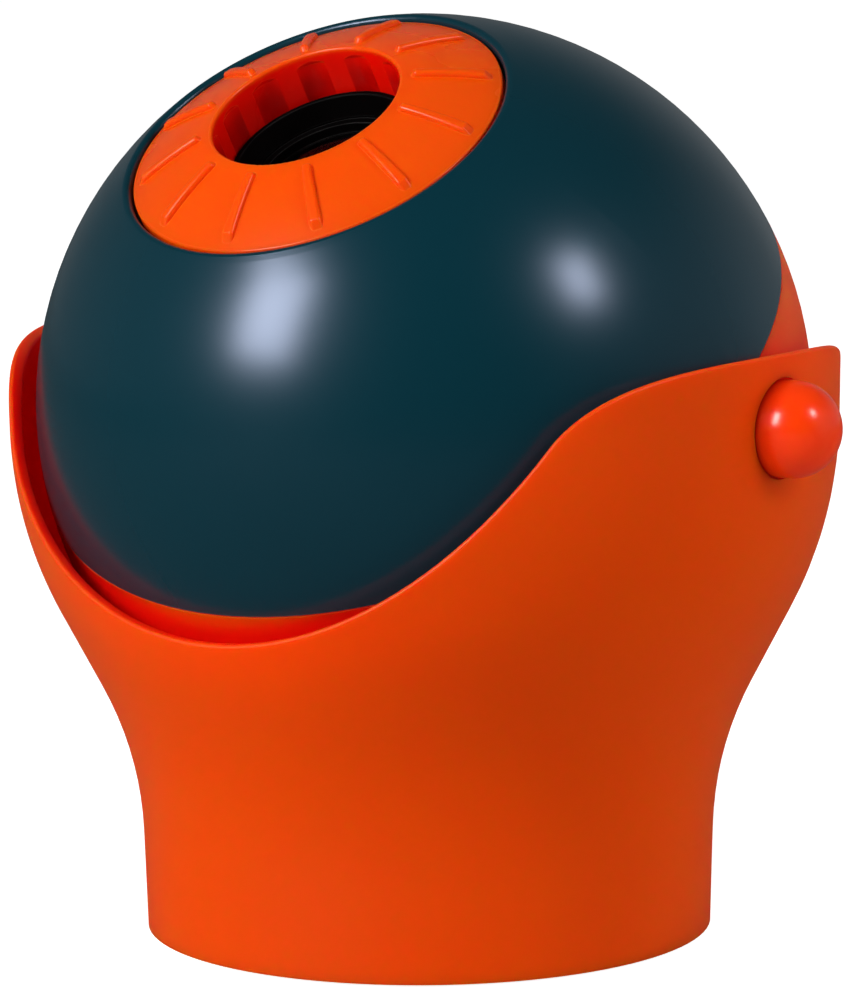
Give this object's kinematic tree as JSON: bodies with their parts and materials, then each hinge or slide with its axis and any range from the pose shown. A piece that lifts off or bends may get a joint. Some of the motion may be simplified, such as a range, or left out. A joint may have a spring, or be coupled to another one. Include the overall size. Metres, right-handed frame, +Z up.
{
  "type": "planetarium projector",
  "caption": "Ball-shaped planetarium projector on a cup stand: ribbed focus ring and picture disc in front, star dome behind, tilting on two capped pivots.",
  "frame": {"origin": "on the floor, under the centre of the ball", "axes": "+Z up, X along the pivot axis, the lens looks towards -Y and up"},
  "size_m": [0.1828, 0.15, 0.1775],
  "materials": {
    "orange_plastic": "satin moulded plastic",
    "orange_gloss": "polished moulded plastic",
    "teal_plastic": "satin moulded plastic with a fine grain",
    "black_plastic": "matt black plastic",
    "dark_plastic": "matt dark grey plastic",
    "pale_plastic": "natural white acetal",
    "smoked_dome": "clear-coated smoked plastic",
    "lens_glass": "polished",
    "film": "glossy picture film",
    "steel": "zinc plated",
    "rubber_pad": "matt",
    "green_board": "solder-masked board",
    "white_board": "white solder mask",
    "led_body": "clear epoxy over phosphor",
    "motor_case": "plated",
    "cell_jacket": "printed jacket, satin"
  },
  "bodies": {
    "stand": {"stand_shell": "orange_plastic", "base_plate": "orange_plastic", "base_screws": "steel", "rubber_feet": "rubber_pad"},
    "ball": {"front_shell": "teal_plastic", "rear_shell": "orange_plastic", "shell_screws": "steel", "right_knob": "orange_gloss", "left_knob": "orange_gloss", "pivot_washers": "rubber_pad", "pivot_screws": "steel", "lens_guide": "black_plastic", "slide_gate": "black_plastic", "gate_cover": "black_plastic", "detent_spring": "steel", "mid_plate": "dark_plastic", "lamp_tube": "black_plastic", "condenser_lens": "lens_glass", "led_board": "white_board", "projector_led": "led_body", "circuit_board": "green_board", "dome_carrier": "black_plastic", "carrier_screws": "steel", "star_lamp": "led_body", "gearmotor": "motor_case", "battery_cells": "cell_jacket", "battery_tray": "black_plastic", "battery_contacts": "steel", "switch_body": "black_plastic"},
    "focus": {"focus_ring": "orange_plastic", "ring_retainer": "black_plastic", "retainer_screws": "steel"},
    "barrel": {"lens_barrel": "black_plastic", "lens_retainer": "black_plastic", "front_lens": "lens_glass", "rear_lens": "lens_glass"},
    "disc": {"slide_disc": "dark_plastic", "slide_frames": "film"},
    "dome": {"star_dome": "smoked_dome", "dome_gear": "pale_plastic"},
    "pinion": {"drive_pinion": "pale_plastic"},
    "switch": {"power_switch": "black_plastic"},
    "door": {"battery_door": "orange_plastic", "door_screw": "steel"}
  },
  "joints": [
    {"name": "ball_tilt", "type": "hinge", "parent": "stand", "child": "ball", "pos_m": [0, 0, 0.1025], "axis": [1, 0, 0], "continuous": true},
    {"name": "focus_turn", "type": "hinge", "parent": "ball", "child": "focus", "pos_m": [0, 0, 0.1025], "axis": [0, -0.5388, 0.8425], "range_deg": [-30, 60]},
    {"name": "lens_travel", "type": "slide", "parent": "ball", "child": "barrel", "axis": [0, -0.5388, 0.8425], "range_m": [-0.00268, 0.00535]},
    {"name": "disc_turn", "type": "hinge", "parent": "ball", "child": "disc", "pos_m": [-0.01806, -0.00358, 0.14532], "axis": [0, -0.5388, 0.8425], "continuous": true},
    {"name": "dome_turn", "type": "hinge", "parent": "ball", "child": "dome", "pos_m": [0, 0, 0.1025], "axis": [0, -0.5388, 0.8425], "continuous": true},
    {"name": "pinion_turn", "type": "hinge", "parent": "ball", "child": "pinion", "pos_m": [0, -0.00653, 0.04289], "axis": [0, -0.5388, 0.8425], "continuous": true},
    {"name": "switch_slide", "type": "slide", "parent": "ball", "child": "switch", "axis": [-0.1444, -0.401, 0.9046], "range_m": [-0.003, 0.003]},
    {"name": "door_lift", "type": "slide", "parent": "ball", "child": "door", "axis": [0, 0.9829, 0.184], "range_m": [0, 0.02]}
  ],
  "couplings": [
    {"joint": "lens_travel", "follows": "focus_turn", "m_per_rad": 0.005093},
    {"joint": "pinion_turn", "follows": "dome_turn", "ratio": -4}
  ]
}
